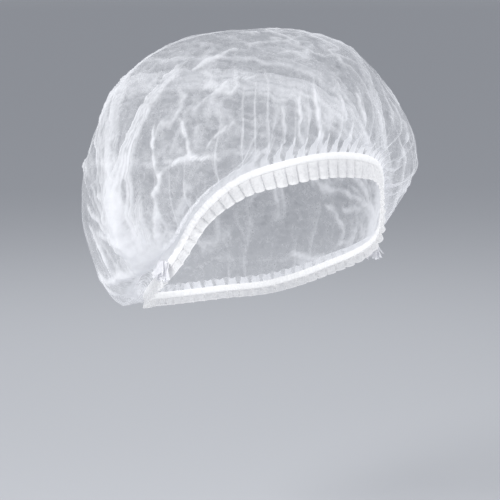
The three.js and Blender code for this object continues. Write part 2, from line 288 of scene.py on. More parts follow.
RIDGES = [
    # the pouch
    (0.7, 2.2, BOTH, [
        (115, 0.54, 0.16), (102, 0.51, 0.2), (97, 0.5, 0.22), (89, 0.46, 0.24), (80, 0.41, 0.28),
        (73, 0.3, 0.34)]),
    (0.7, 2.0, BOTH, [
        (112, 0.5, 0.16), (104, 0.47, 0.22), (100, 0.44, 0.24), (100, 0.41, 0.22), (104, 0.38, 0.16)]),
    (0.7, 2.0, BOTH, [(103, 0.48, 0.16), (92, 0.46, 0.22), (84, 0.42, 0.24), (78, 0.36, 0.2)]),
    (0.9, 4.0, BOTH, [
        (126, 0.42, 0.2), (105, 0.37, 0.26), (93, 0.35, 0.28), (83, 0.33, 0.3), (76, 0.3, 0.26)]),
    (0.7, 3.4, BOTH, [
        (124, 0.43, 0.16), (116, 0.38, 0.2), (109, 0.33, 0.22), (108, 0.28, 0.2), (111, 0.21, 0.14)]),
    (0.9, 4.0, BOTH, [(84, 0.24, 0.32), (96, 0.28, 0.28), (118, 0.25, 0.26), (142, 0.21, 0.2)]),
    (0.5, 3.6, RIGHT, [(84, 0.22, 0.16), (86, 0.14, 0.18), (85, 0.05, 0.14)]),
    (0.3, 0.8, BOTH, [(82, 0.12, 0.2), (100, 0.17, 0.16), (130, 0.2, 0.14), (180, 0.22, 0.1)]),
    (0.3, 0.8, BOTH, [(105, 0.37, 0.14), (125, 0.41, 0.16), (150, 0.42, 0.14), (180, 0.4, 0.1)]),
    # the side, before the stack
    (0.5, 1.5, RIGHT, [(60, 0.66, 0.08), (57, 0.62, 0.13), (53, 0.58, 0.14), (50, 0.56, 0.1)]),
    (0.5, 1.4, RIGHT, [(53, 0.65, 0.08), (51, 0.61, 0.12), (50, 0.58, 0.1)]),
    (0.5, 1.8, RIGHT, [
        (66, 0.54, 0.12), (61, 0.56, 0.15), (53, 0.58, 0.16), (48, 0.55, 0.15), (41, 0.49, 0.1)]),
    (0.6, 2.0, BOTH, [
        (70, 0.66, 0.1), (67, 0.58, 0.14), (64, 0.53, 0.18), (66, 0.5, 0.2), (67, 0.45, 0.22),
        (69, 0.3, 0.36), (71, 0.12, 0.4)]),
    (0.4, 1.0, RIGHT, [(38, 0.6, 0.08), (45, 0.59, 0.12), (49, 0.57, 0.1)]),
    (0.6, 1.3, BOTH, [(62, 0.77, 0.14), (53, 0.79, 0.16), (46, 0.81, 0.15), (34, 0.83, 0.1)]),
    (0.4, 0.9, BOTH, [(30, 0.7, 0.08), (40, 0.72, 0.12), (50, 0.7, 0.12), (57, 0.66, 0.1)]),
    # long gathers of the front
    (0.4, 1.2, AS_GIVEN, [(-20, 0.3, 0.12), (-22, 0.45, 0.14), (-23, 0.62, 0.12)]),
    (0.5, 1.8, AS_GIVEN, [(-9, 0.02, 0.16), (-13, 0.25, 0.16), (-17, 0.49, 0.16), (-14, 0.66, 0.1)]),
    (0.5, 2.0, AS_GIVEN, [(-2, 0.0, 0.16), (-6, 0.3, 0.18), (-8, 0.54, 0.16), (-7, 0.7, 0.1)]),
    (0.5, 1.5, AS_GIVEN, [(12, 0.05, 0.14), (7, 0.3, 0.16), (4, 0.47, 0.14), (3, 0.68, 0.1)]),
    (0.5, 1.7, AS_GIVEN, [(25, 0.05, 0.16), (17, 0.3, 0.18), (12, 0.47, 0.16), (11, 0.66, 0.1)]),
    (0.5, 1.5, AS_GIVEN, [(42, 0.1, 0.16), (30, 0.3, 0.18), (22, 0.42, 0.16), (17, 0.62, 0.1)]),
    (0.5, 1.3, AS_GIVEN, [(60, 0.1, 0.16), (48, 0.3, 0.16), (38, 0.46, 0.16), (30, 0.62, 0.1)]),
]

LINE_STEPS = 10  # points on each stretch between two corners of a fold's line
CORNER_EASE = 3  # the line is evened over so many points to each side
SHEET_EASE = 2  # and then its points on the sheet over so many


def fold_points(rim, grid, places, line, side):
    """The points of a fold on the smooth sheet, with the half width at each."""
    corners = np.array(line, float)
    fine = np.linspace(0, len(corners) - 1, LINE_STEPS * (len(corners) - 1) + 1)
    values = [np.interp(fine, np.arange(len(corners)), corners[:, part]) for part in range(3)]
    evening = np.ones(2 * CORNER_EASE + 1) / (2 * CORNER_EASE + 1)
    values = [np.convolve(np.pad(value, CORNER_EASE, "edge"), evening, "valid") for value in values]
    columns = [np.argmin(np.abs((rim.angle - side * angle + 180) % 360 - 180)) for angle in values[0]]
    rows = [np.argmin(np.abs(places - up * TOP_PLACE)) for up in values[1]]
    points = grid[rows, columns]
    padded = np.pad(points, ((SHEET_EASE, SHEET_EASE), (0, 0)), "edge")
    shifts = range(2 * SHEET_EASE + 1)
    points = sum(padded[shift : shift + len(points)] for shift in shifts) / len(shifts)
    return points, values[2] * FOLD_WIDTH


def distance_to_line(points, line, widths):
    """How far each point lies from the line, with the line's half width and share there."""
    distance = np.full(len(points), np.inf)
    width = np.zeros(len(points))
    share = np.zeros(len(points))
    for step in range(len(line) - 1):
        stretch = line[step + 1] - line[step]
        part = ((points - line[step]) @ stretch) / max(stretch @ stretch, 1e-12)
        part = np.clip(part, 0, 1)
        apart = np.linalg.norm(points - line[step] - part[:, None] * stretch, axis=1)
        nearer = apart < distance
        distance[nearer] = apart[nearer]
        width[nearer] = (widths[step] + part * (widths[step + 1] - widths[step]))[nearer]
        share[nearer] = (step + part[nearer]) / (len(line) - 1)
    return distance, width, share


# Noise that makes the folds irregular, with lumps in metres
WIDTH_LUMPS, WIDTH_SPREAD = 0.009, 0.22  # a fold's width varies by this share
PATCH_LUMPS, PATCHES = 0.016, (0.8, 0.5)  # how much of a stack's layers there are
GAP_LUMPS, GAP_STRETCH = 0.0075, (1, 1, 0.35)  # dark gaps in a stack, taller than wide
GAP_EDGE, GAP_DEPTH = (0.26, 0.42), 0.8
LINE_BENDS = ((0.0028, 0.012, (4, 5, 6)), (0.0012, 0.005, (7, 8, 9)))  # reach, lumps, seeds

# How a fold starts and ends, in shares of its length
LAYERS_START, LAYERS_END = 0.08, 0.3  # over these its layers appear and fade
RISING = 0.3  # over this, if no start is longer, it rises off the sheet
PAST_END = 0.01

# What a fold is across its line, in half widths
FOLD_MARGIN = 3  # the sheet is left alone this far outside the fold's box
HALO_WIDTH, HALO_LAYERS = 3.2, 0.04
RIDGE_RELIEF, HALO_RELIEF = 0.6, 0.4
STRIP_EDGE = (0.76, 1.12)
EDGE_LINE, EDGE_LINE_WIDTH, EDGE_LINE_LAYERS = 0.9, 0.16, 0.3
STRIPES, STRIPE_WAVES = (0.75, 0.35), 2.2  # layers in the mean and by how much they swing
STRIPES_SEEN = ((0, 0.12), (0.88, 1))  # shares of its length


def ridge_profile(away):
    """Layers and height across a single fold."""
    line = bell(away, 1)
    halo = bell(away, HALO_WIDTH)
    return line + HALO_LAYERS * halo, RIDGE_RELIEF * line + HALO_RELIEF * halo


def strip_profile(away, share, patchy):
    """Layers and height across a flat stack of pleats, with a line along each edge."""
    inside = 1 - smooth(*STRIP_EDGE, away)
    edge = bell(away - EDGE_LINE, EDGE_LINE_WIDTH)
    stripes = window(*STRIPES_SEEN, share) * np.cos(2 * math.pi * STRIPE_WAVES * away)
    pleated = patchy * drawn(STRIPES, stripes)
    return inside * pleated + EDGE_LINE_LAYERS * edge, (inside + edge) / 2


class Folding:
    """Height and number of extra layers that the folds give to each point of the sheet."""

    def __init__(self, rim, grid, places):
        self.rim = rim
        self.grid = grid
        self.places = places
        self.flat = grid.reshape(-1, 3)
        self.height = np.zeros(len(self.flat))
        self.layers = np.zeros(len(self.flat))
        self.from_weld = np.full(len(self.flat), np.inf)
        self.width_share = 1 + WIDTH_SPREAD * field(self.flat, WIDTH_LUMPS, 3)
        gaps = smooth(*GAP_EDGE, field(self.flat * GAP_STRETCH, GAP_LUMPS, 14))
        self.patchy = drawn(PATCHES, field(self.flat, PATCH_LUMPS, 10)) * (1 - GAP_DEPTH * gaps)
        self.bent = self.flat
        for reach, lumps, seeds in LINE_BENDS:
            bends = [field(self.flat, lumps, seed) for seed in seeds]
            self.bent = self.bent + reach * np.stack(bends, 1)

    def add(self, line, side, height, layers, flat_top=False, start=LAYERS_START, end=LAYERS_END):
        points, widths = fold_points(self.rim, self.grid, self.places, line, side)
        margin = FOLD_MARGIN * widths.max()
        inside = np.all(self.flat > points.min(0) - margin, axis=1)
        inside &= np.all(self.flat < points.max(0) + margin, axis=1)
        chosen = np.nonzero(inside)[0]
        distance, width, share = distance_to_line(self.bent[chosen], points, widths)
        away = distance / (width * self.width_share[chosen])
        ending = 1 - smooth(1 - end, 1 + PAST_END, share)
        showing = smooth(-PAST_END, start, share) * ending
        rising = smooth(-PAST_END, max(start, RISING), share) * ending
        if flat_top:
            cover, relief = strip_profile(away, share, self.patchy[chosen])
        else:
            cover, relief = ridge_profile(away)
        self.layers[chosen] += layers * showing * cover
        self.height[chosen] += height * rising * relief


def add_folds(folding):
    for rows, flat_top in ((STRIPS, True), (RIDGES, False)):
        for height, layers, sides, line in rows:
            for side in sides:
                bold = FAR_SHARE if side > 0 and sides != AS_GIVEN else 1
                folding.add(line, side, bold * height * FOLD_HEIGHT, bold * layers, flat_top)


# Lines that fan out from each weld, with where they end: degrees from the front and share of the way
# up, from the front of the fan to its back
FAN_ENDS = [(44, 0.2), (46, 0.42), (56, 0.56), (66, 0.68), (76, 0.78), (86, 0.84)]
FAN_COUNT = 16
FAN_START = (73, 0.06)
FAN_START_TURN = 8  # degrees between the starts of the first line and the last
FAN_SHIFT = 0.8  # share of a step by which chance moves a line
FAN_REACH, FAN_REACH_POWER = (0.35, 0.65), 1.5
FAN_BEND = 4
FAN_WIDTH, FAN_WIDER = (0.16, 0.1), 0.12
FAN_HEIGHT = (0.25, 0.35)
FAN_LAYERS = (0.4, 0.8)
QUARTERS = (0, 0.25, 0.5, 0.75, 1)


def add_fan(folding):
    ends = np.array(FAN_ENDS, float)
    for side in BOTH:
        bold = FAR_SHARE if side > 0 else 1
        for step in range(FAN_COUNT):
            chance = chances(step, [seed + 5 * side for seed in (1, 2, 3, 4)])
            along = np.clip((step + FAN_SHIFT * (chance[0] - 0.5)) / (FAN_COUNT - 1), 0, 1)
            place = along * (len(ends) - 1)
            goal = [np.interp(place, np.arange(len(ends)), ends[:, part]) for part in (0, 1)]
            begin = (FAN_START[0] + FAN_START_TURN * along, FAN_START[1])
            reach = drawn(FAN_REACH, chance[1] ** FAN_REACH_POWER)
            bend = FAN_BEND * (chance[2] - 0.5)
            line = []
            for share in QUARTERS:
                angle = begin[0] + (goal[0] - begin[0]) * share * reach + bend * share * (1 - share) * 4
                up = begin[1] + (goal[1] - begin[1]) * share * reach
                line.append((angle, up, drawn(FAN_WIDTH, chance[3]) + FAN_WIDER * share))
            height = bold * FOLD_HEIGHT * drawn(FAN_HEIGHT, chance[3])
            folding.add(line, side, height, bold * drawn(FAN_LAYERS, chance[2]), start=0.02, end=0.7)


# Pleats that run from weld to weld across the back: degrees from the front, and the share of the way
# up for the lowest and the highest of them
LONG_PLEATS = [(75, 0.05, 0.08), (80, 0.36, 0.46), (92, 0.5, 0.66), (112, 0.56, 0.79), (140, 0.58, 0.86),
               (180, 0.58, 0.88)]
LONG_PLEAT_COUNT = 14
LONG_PLEAT_SHIFT = 0.7  # share of a step by which chance moves a pleat
SWAY, SWAY_DEGREES, SWAY_FROM = 0.02, 23, (76, 110)
LONG_PLEAT_WIDTH = (0.12, 0.1)
LONG_PLEAT_HEIGHT = (0.15, 0.25)
LONG_PLEAT_LAYERS = (0.2, 0.7)


def add_long_pleats(folding):
    for step in range(LONG_PLEAT_COUNT):
        chance = chances(step + 50, (91, 92, 93, 94, 95))
        rank = np.clip((step + LONG_PLEAT_SHIFT * (chance[0] - 0.5)) / (LONG_PLEAT_COUNT - 1), 0, 1)
        width = drawn(LONG_PLEAT_WIDTH, chance[2])
        half = []
        for angle, low, high in LONG_PLEATS:
            sway = SWAY * math.sin(angle / SWAY_DEGREES + 6 * chance[1]) * smooth(*SWAY_FROM, angle)
            half.append((angle, float(low + (high - low) * rank + sway), width))
        line = half + [(360 - angle, up, width) for angle, up, width in half[-2::-1]]
        height = FOLD_HEIGHT * drawn(LONG_PLEAT_HEIGHT, chance[3])
        layers = drawn(LONG_PLEAT_LAYERS, chance[4] ** 2)
        folding.add(line, 1, height, layers, start=0.03, end=0.03)


# Trails: thin lines that the pleats of the front send up and back over the crown
TRAILS = range(-26, 27)
TRAIL_TURN = 2.35  # degrees from one to the next
TRAIL_MISSED = 0.5  # share of them that chance leaves out
TRAIL_START = 0.01
TRAIL_REACH, TRAIL_POWER = (0.12, 0.5), 1.6
GOAL_SHARE, GOAL_SHIFT, GOAL_UP = 0.45, -4, 0.65  # of its angle, and how far up that goal is
TRAIL_BEND = 3
TRAIL_WIDTH = (0.08, 0.04)
TRAIL_HEIGHT = 0.0012
TRAIL_LAYERS = (0.5, 1.2)


def add_trails(folding):
    for pleat in TRAILS:
        chance = chances(pleat + 100, (81, 82, 83, 84))
        if chance[3] < TRAIL_MISSED:
            continue
        start = TRAIL_TURN * (pleat + 0.5)
        goal = GOAL_SHARE * start + GOAL_SHIFT
        reach = drawn(TRAIL_REACH, chance[0] ** TRAIL_POWER)
        width = drawn(TRAIL_WIDTH, chance[2])
        line = []
        for share in QUARTERS:
            up = TRAIL_START + reach * share
            bend = TRAIL_BEND * (chance[1] - 0.5) * math.sin(4 * share)
            line.append((start + (goal - start) * up / GOAL_UP + bend, up, width))
        layers = drawn(TRAIL_LAYERS, chance[2])
        folding.add(line, 1, TRAIL_HEIGHT * chance[3], layers, start=0.02, end=0.6)


# The stack at each weld, with distances in metres from its middle
STACK_PLACE = 0.3  # its middle, as a place on the sheet
STACK_HIDES = (0.004, 0.024)  # between these the other folds come out of it
STACK_PRESSED = (0.006, 0.04)  # and between these the sheet's relief grows
FAR_STACK_SHARE = 0.7  # how bold the wearer's left one is against the right one
STACK_CREASES = (0.008, 72, 2, 3, 2)  # lumps, seed, octaves, narrowness, power
CREASED_REACH, CREASED_HEIGHT, CREASED_LAYERS = 0.042, 0.0012, 0.9
STACK_LAYERS = ((3.6, 0.014), (0.5, 0.026))  # each with the distance over which they thin out


def add_weld_stack(folding):
    """The pleats lie on each other round the weld."""
    row = np.argmin(np.abs(folding.places - STACK_PLACE))
    for side in BOTH:
        middle = folding.grid[row, folding.rim.weld_column(side)]
        distance = np.linalg.norm(folding.flat - middle, axis=1)
        folding.from_weld = np.minimum(folding.from_weld, distance)
        folding.layers *= smooth(*STACK_HIDES, distance)
        bold = FAR_STACK_SHARE if side > 0 else 1
        creased = crease_lines(folding.flat, *STACK_CREASES) * (bold * bell(distance, CREASED_REACH))
        folding.height += CREASED_HEIGHT * creased
        folding.layers += CREASED_LAYERS * creased
        for layers, reach in STACK_LAYERS:
            folding.layers += bold * layers * bell(distance, reach)


# The gathers along the rim, in metres climbed from it, degrees round it and shares of a pleat
GATHER_HEIGHT, GATHER_HEIGHTS = 0.0015, (0.75, 0.5)
GATHER_REACH, GATHER_REACHES = 0.046, (0.6, 0.9)
GATHER_FADES_FROM = 0.2  # share of its reach
HELD_AT_RIM, HELD_OVER = (0.12, 0.88), 0.016  # share of its height that the elastic leaves it
DRIFT, DRIFT_LUMPS, DRIFT_FROM = 0.5, 0.03, (0.01, 0.08)  # pleats by which they wander sideways
CREST_WIDTH, CREST_HEIGHT = 0.14, 0.0008
LEAD, LEAD_FADES_FROM = (0.018, 0.1), 0.3  # how far the sharp crest of a gather climbs
LEAD_WIDTH, LEAD_LAYERS, LEAD_SHARES = 0.07, 0.7, (0.4, 0.6)
POUCH, POUCH_SHORTENS = ((78, 88), (125, 145)), 0.5  # under the pouch the gathers are shorter
CORNER, CORNER_CALMS = ((73, 78), (90, 104)), 0.9  # beside the weld they nearly vanish
TEMPLE, TEMPLE_FLATTENS = ((-72, -60), (-34, -22)), 0.75  # the wearer's right, pulled taut
TEMPLE_LAYERS, TEMPLE_REACH = 1.6, 0.006
CALM_LAYERS = (0.3, 0.7)  # share of its layers that a calm gather keeps

# White wedges of doubled cloth between the gathers, over the elastic
WEDGE_HEIGHT, WEDGE_HEIGHTS = 0.018, (0.55, 0.8)
WEDGE_WIDTH, WEDGE_EDGE = 0.34, (-0.04, 0.06)  # its half width at the elastic
WEDGE_LAYERS = 5.0
WEDGE_TURN, WEDGE_BOLD = (-34, -14), (0.12, 0.88)  # between these degrees they grow bold


def gathers(rim, grid, climbed):
    """Height and extra layers of the gathers that the elastic holds along the rim."""
    drift = DRIFT * field(grid, DRIFT_LUMPS, 11) * smooth(*DRIFT_FROM, climbed)
    phase = rim.pleat[None, :] + drift
    offset = phase - np.floor(phase) - 0.5
    chance = [pleat_random(phase, seed) for seed in (21, 22, 23)]
    aside = np.abs(rim.angle)
    pouch = window(*POUCH, aside)[None, :]
    corner = window(*CORNER, aside)[None, :]
    temple = window(*TEMPLE, rim.angle)[None, :]
    bold = rim.boldness()[None, :] * (1 - CORNER_CALMS * corner)

    held = drawn(HELD_AT_RIM, smooth(0, HELD_OVER, climbed)) * (1 - TEMPLE_FLATTENS * temple)
    reach = GATHER_REACH * drawn(GATHER_REACHES, chance[0]) * (1 - POUCH_SHORTENS * pouch)
    fading = 1 - smooth(GATHER_FADES_FROM * reach, reach, climbed)
    waves = np.cos(2 * np.pi * offset)
    height = GATHER_HEIGHT * drawn(GATHER_HEIGHTS, chance[1]) * waves * held * fading
    lead = drawn(LEAD, chance[2] ** 2)
    leading = 1 - smooth(LEAD_FADES_FROM * lead, lead, climbed)
    height += CREST_HEIGHT * bell(offset, CREST_WIDTH) * held * leading

    wedge_height = WEDGE_HEIGHT * drawn(WEDGE_HEIGHTS, chance[1])
    wedge = smooth(*WEDGE_EDGE, WEDGE_WIDTH * (1 - climbed / wedge_height) - np.abs(offset))
    layers = WEDGE_LAYERS * drawn(WEDGE_BOLD, smooth(*WEDGE_TURN, rim.angle))[None, :] * wedge
    layers += LEAD_LAYERS * bell(offset, LEAD_WIDTH) * leading * drawn(LEAD_SHARES, chance[2])
    layers += TEMPLE_LAYERS * temple * np.exp(-climbed / TEMPLE_REACH)
    return height * bold, layers * drawn(CALM_LAYERS, bold)


# The crumpled sheet. Its noise has lumps in metres and a seed, and creases have also their octaves,
# narrowness and power.
CRUMPLE_FROM = (0.002, 0.03)  # metres climbed from the rim over which it appears
TALLER = (1, 1, 0.45)  # makes lumps and creases taller than wide
DENTS, DENT_HEIGHT = (0.05, 31), 0.0022
SMALL_DENTS, SMALL_DENT_HEIGHT = (0.018, 32), 0.0008
CREASES, CREASE_HEIGHT, CREASE_LAYERS = (0.024, 33, 3, 3.2, 2.2), 0.0009, 0.8
CREASED_PARTS, CREASED_EDGE = (0.04, 34), (-0.05, 0.45)
FINE_CREASES, FINE_HEIGHT, FINE_LAYERS = (0.011, 35, 2, 3.0, 2.5), 0.00035, 0.1


def crumple(grid, climbed):
    """Soft dents and the small creases of a crumpled sheet: height and extra layers."""
    tall = grid * TALLER
    away = smooth(*CRUMPLE_FROM, climbed)
    creases = crease_lines(tall, *CREASES) * smooth(*CREASED_EDGE, field(grid, *CREASED_PARTS))
    fine = crease_lines(tall, *FINE_CREASES)
    height = DENT_HEIGHT * field(grid, *DENTS) + SMALL_DENT_HEIGHT * field(tall, *SMALL_DENTS)
    height += CREASE_HEIGHT * creases + FINE_HEIGHT * fine
    return height * away, (CREASE_LAYERS * creases + FINE_LAYERS * fine) * away


def make_mesh(name, points, faces, uv=None, layers=None):
    mesh = bpy.data.meshes.new(name)
    mesh.from_pydata([tuple(point) for point in points], [], faces)
    mesh.validate()
    mesh.polygons.foreach_set("use_smooth", np.ones(len(mesh.polygons), bool))
    if layers is not None:
        attribute = mesh.attributes.new("layers", "FLOAT", "POINT")
        attribute.data.foreach_set("value", np.asarray(layers, np.float32))
    if uv is not None:
        corners = np.empty(len(mesh.loops), np.int32)
        mesh.loops.foreach_get("vertex_index", corners)
        layer = mesh.uv_layers.new(name="sheet")
        layer.data.foreach_set("uv", np.asarray(uv, np.float32)[corners].ravel())
    piece = bpy.data.objects.new(name, mesh)
    bpy.context.scene.collection.objects.link(piece)
    return piece


def ring_faces(lower, upper):
    """Faces between a ring of vertices and the ring above, which has as many or half as many."""
    ratio = len(lower) // len(upper)
    faces = []
    for index, corner in enumerate(upper):
        after = upper[(index + 1) % len(upper)]
        ends = [lower[(index * ratio + step) % len(lower)] for step in range(ratio + 1)]
        faces.append((*ends, after, corner))
    return faces


FOLDS_FROM = 0.012  # metres climbed from the rim over which the folds rise to their height


def fold_sheet(rim, grid, places, climbed):
    """How far each point stands off the smooth sheet, and its number of extra layers."""
    folding = Folding(rim, grid, places)
    add_folds(folding)
    add_fan(folding)
    add_long_pleats(folding)
    add_trails(folding)
    add_weld_stack(folding)
    height = folding.height.reshape(climbed.shape) * smooth(0, FOLDS_FROM, climbed)
    layers = folding.layers.reshape(climbed.shape)
    for more_height, more_layers in (gathers(rim, grid, climbed), crumple(grid, climbed)):
        height += more_height
        layers += more_layers
    pressed = smooth(*STACK_PRESSED, folding.from_weld.reshape(climbed.shape))
    return height * pressed - WALL / 2, layers


def build_crown():
    rim = Rim(COLUMNS)
    places = part_places()
    grid = smooth_sheet(rim, places)
    steps = np.linalg.norm(np.diff(grid, axis=0), axis=2)
    climbed = np.vstack([np.zeros(COLUMNS), np.cumsum(steps, axis=0)])
    height, layers = fold_sheet(rim, grid, places, climbed)
    points = grid + grid_normals(grid) * height[..., None]
    rings = []
    vertices = []
    values = []
    flat = []
    for row, place in enumerate(places):
        stride = 1 if place <= HALVE_AT else 2
        columns = np.arange(0, COLUMNS, stride)
        rings.append(np.arange(len(columns)) + len(vertices))
        vertices.extend(points[row, columns])
        values.extend(layers[row, columns])
        flat.extend(zip(rim.pleat[columns] / PLEATS * rim.length, climbed[row, columns]))
    faces = []
    for lower, upper in zip(rings, rings[1:]):
        faces += ring_faces(lower.tolist(), upper.tolist())
    top = len(vertices)
    vertices.append((0, -APEX_FORWARD, TOP_ABOVE_SEAT - WALL / 2))
    values.append(float(np.mean(layers[-1])))
    flat.append((0, float(climbed[-1].max())))
    last = rings[-1].tolist()
    faces += [(corner, last[(index + 1) % len(last)], top) for index, corner in enumerate(last)]
    return make_mesh("crown_sheet", vertices, faces, flat, values)


BAND_COLUMNS = PLEATS * 20
BAND_SIDES = 16
BAND_CENTRE = -WALL / 2
PUCKER, FINE_PUCKER = 0.00016, 0.0001
BAND_RIBS, BAND_RIB = 5, 0.00012
BAND_FULLNESS = 0.75  # 1 would make it an ellipse across, and less fills its corners


def build_band():
    """The elastic under its sheet: a flattened ring, puckered once for each gather."""
    rim = Rim(BAND_COLUMNS)
    offset = rim.pleat - np.floor(rim.pleat) - 0.5
    chance = pleat_random(rim.pleat, 41)
    pucker = PUCKER * np.cos(2 * np.pi * offset) + FINE_PUCKER * np.cos(6 * np.pi * offset + 6 * chance)
    vertices = []
    for side in range(BAND_SIDES):
        turn = 2 * np.pi * side / BAND_SIDES
        across = math.sin(turn)
        ribs = BAND_RIB * math.cos(BAND_RIBS * turn)
        outward = BAND_CENTRE + (BAND_THICKNESS / 2 + pucker + ribs) * math.cos(turn)
        down = (BAND_WIDTH / 2 + pucker / 2) * np.sign(across) * abs(across) ** BAND_FULLNESS
        vertices.append(rim.beside(down[:, None], outward[:, None]))
    faces = []
    for side in range(BAND_SIDES):
        lower = (side * BAND_COLUMNS + np.arange(BAND_COLUMNS)).tolist()
        after = ((side + 1) % BAND_SIDES * BAND_COLUMNS + np.arange(BAND_COLUMNS)).tolist()
        faces += ring_faces(after, lower)
    return make_mesh("elastic_rim", np.vstack(vertices), faces)


FRILL_COLUMNS = PLEATS * 24
FRILL_ROWS = 12
FRILL_WAVE, FRILL_WAVES = 0.0011, (0.8, 0.4)
FLUTE = (0.4, 0.6)  # mean and swing of a flute's round front
FRILL_VALLEY, VALLEY_WIDTH = 0.0022, (0.06, 0.03)
FRILL_WAVE_GROWS = (0.35, 0.65)  # share of the wave at the elastic and its gain towards the hem
HEM_SPREAD = 0.03
NOTCH_DEPTH, NOTCH_WIDTH = 0.05, 0.12
# The valleys lose layers, so more of what lies behind shows through and they read darker. This is
# painted shade in the valleys, on top of the real shade of the dip.
HEM_LAYERS, VALLEY_SHADE_LAYERS = 0.25, 0.2
HEM_LINE, HEM_LINE_PLACE, HEM_LINE_WIDTH = 0.5, 0.93, 0.06
SEAM_LINE, SEAM_LINE_WIDTH = 0.9, 0.12  # doubled cloth beside the elastic


def build_frill():
    """The pleated hem: rounded flutes with narrow valleys between them, whose thinner cover is painted
    shade.
    """
    rim = Rim(FRILL_COLUMNS)
    offset = rim.pleat - np.floor(rim.pleat)
    valley = np.minimum(offset, 1 - offset)
    chance = [pleat_random(rim.pleat, seed) for seed in (51, 52)]
    ragged = 1 + HEM_SPREAD * (chance[1] - 0.5) - NOTCH_DEPTH * bell(valley, NOTCH_WIDTH)
    dip = bell(valley, drawn(VALLEY_WIDTH, chance[0]))
    flute = drawn(FLUTE, np.cos(2 * np.pi * (offset - 0.5)))
    wave = FRILL_WAVE * drawn(FRILL_WAVES, chance[1]) * flute - FRILL_VALLEY * dip
    rings = []
    vertices = []
    values = []
    flat = []
    for row in range(FRILL_ROWS + 1):
        share = row / FRILL_ROWS
        down = BAND_WIDTH / 2 - TUCK + share * (rim.hem * ragged + TUCK)
        height = wave * drawn(FRILL_WAVE_GROWS, share) * rim.boldness()
        outward = FRILL_FLARE * (down - BAND_WIDTH / 2) + height - WALL / 2
        rings.append(np.arange(FRILL_COLUMNS) + len(vertices))
        vertices.extend(rim.beside(down[:, None], outward[:, None]))
        hem_line = HEM_LINE * bell(share - HEM_LINE_PLACE, HEM_LINE_WIDTH)
        seam_line = SEAM_LINE * bell(share, SEAM_LINE_WIDTH)
        # the thinner cover in the valleys is painted shade
        values.extend(HEM_LAYERS - VALLEY_SHADE_LAYERS * dip + hem_line + seam_line)
        flat.extend(zip(rim.pleat / PLEATS * rim.length, -down))
    faces = []
    for upper, lower in zip(rings, rings[1:]):
        faces += ring_faces(lower.tolist(), upper.tolist())
    return make_mesh("hem_frill", vertices, faces, flat, values)


TUFT_LENGTH = 0.012
TUFT_RISE = 0.0025  # how far the welded layers reach over the elastic, on the sheet
TUFT_TOP_WIDTH, TUFT_END_WIDTH, TUFT_WIDENING = 0.009, 0.0155, 1.3
TUFT_LEAN = 0.3
TUFT_CRIMP, TUFT_WAVES = 0.001, 3.5
TUFT_CRIMP_GROWS = (0.35, 0.65)  # share of the crimp at the top and its gain towards the end
TUFT_LAYERS = 5
TUFT_LIFT, TUFT_LOOSE = 0.0004, 0.0009  # between layers at the top, and more at the end
TUFT_SHIFT = 0.17  # of a wave, between layers
TUFT_FAN = 0.16  # radians between one layer and the next
TUFT_TEETH, TUFT_RAGGED, TUFT_SHORTER = 9, 0.3, 0.06
TUFT_STEPS = 36
TUFT_ROWS = 14
TUFT_COVER, TUFT_WAVE_COVER = (2.4, -1.2), 0.8  # extra layers down its length and on its waves


def tuft_layer(point, outward, side, layer):
    """A grid of points of one welded layer, from its top down, with the extra layers at each."""
    down = np.array((0.0, 0.0, -1.0))
    down = unit(down - outward * (down @ outward))
    across = np.cross(outward, down)
    turn = (layer - (TUFT_LAYERS - 1) / 2) * TUFT_FAN * (-1) ** layer
    hang = down * math.cos(turn) + across * math.sin(turn)
    wide_way = across * math.cos(turn) - down * math.sin(turn)
    share = np.arange(TUFT_ROWS + 1)[:, None] / TUFT_ROWS
    along = np.arange(TUFT_STEPS + 1)[None, :] / TUFT_STEPS
    width = TUFT_TOP_WIDTH + (TUFT_END_WIDTH - TUFT_TOP_WIDTH) * share**TUFT_WIDENING
    crimp = np.sin(2 * np.pi * (TUFT_WAVES * along + TUFT_SHIFT * layer)) * TUFT_CRIMP
    teeth = pleat_random(along * TUFT_TEETH, 61 + layer + 7 * side)
    ragged = 1 - TUFT_RAGGED * teeth * share - TUFT_SHORTER * layer * share
    reach = share * (TUFT_LENGTH + TUFT_RISE) * ragged - BAND_WIDTH / 2 - TUFT_RISE
    seat = BAND_THICKNESS / 2 + BAND_CENTRE + CLEARANCE + TUFT_CRIMP + layer * TUFT_LIFT
    loose = TUFT_LEAN * share * TUFT_LENGTH + TUFT_LOOSE * share * layer
    out = seat + crimp * drawn(TUFT_CRIMP_GROWS, share) + loose
    sideways = (along - 0.5) * width
    points = point + wide_way * sideways[..., None] + hang * reach[..., None] + outward * out[..., None]
    return points, drawn(TUFT_COVER, share) + TUFT_WAVE_COVER * np.abs(crimp) / TUFT_CRIMP


def build_tuft(name, side):
    """A welded pleat end: crimped layers, pressed together at the top and loose at the end."""
    rim = Rim(COLUMNS)
    column = rim.weld_column(side)
    vertices = []
    values = []
    faces = []
    wide = TUFT_STEPS + 1
    for layer in range(TUFT_LAYERS):
        first = len(vertices)
        points, layers = tuft_layer(rim.point[column], rim.outward[column], side, layer)
        vertices.extend(points.reshape(-1, 3))
        values.extend(layers.ravel())
        for row in range(TUFT_ROWS):
            for step in range(TUFT_STEPS):
                corner = first + row * wide + step
                faces.append((corner, corner + wide, corner + wide + 1, corner + 1))
    return make_mesh(name, vertices, faces, None, values)


def fill_in(node, values):
    for name, value in values.items():
        node.inputs[name].default_value = value


def new_material(name, colour, roughness):
    material = bpy.data.materials.new(name)
    material.use_nodes = True
    tree = material.node_tree
    shader = tree.nodes["Principled BSDF"]
    fill_in(shader, {"Base Color": (*colour, 1), "Roughness": roughness})
    return material, tree, shader


def add_node(tree, kind, **settings):
    node = tree.nodes.new(kind)
    for key, value in settings.items():
        setattr(node, key, value)
    return node


def connect(tree, node, values):
    """Set a node's inputs to numbers, or link them to the outputs of other nodes."""
    for socket, value in zip(node.inputs, values):
        if isinstance(value, (int, float)):
            socket.default_value = value
        else:
            tree.links.new(value, socket)


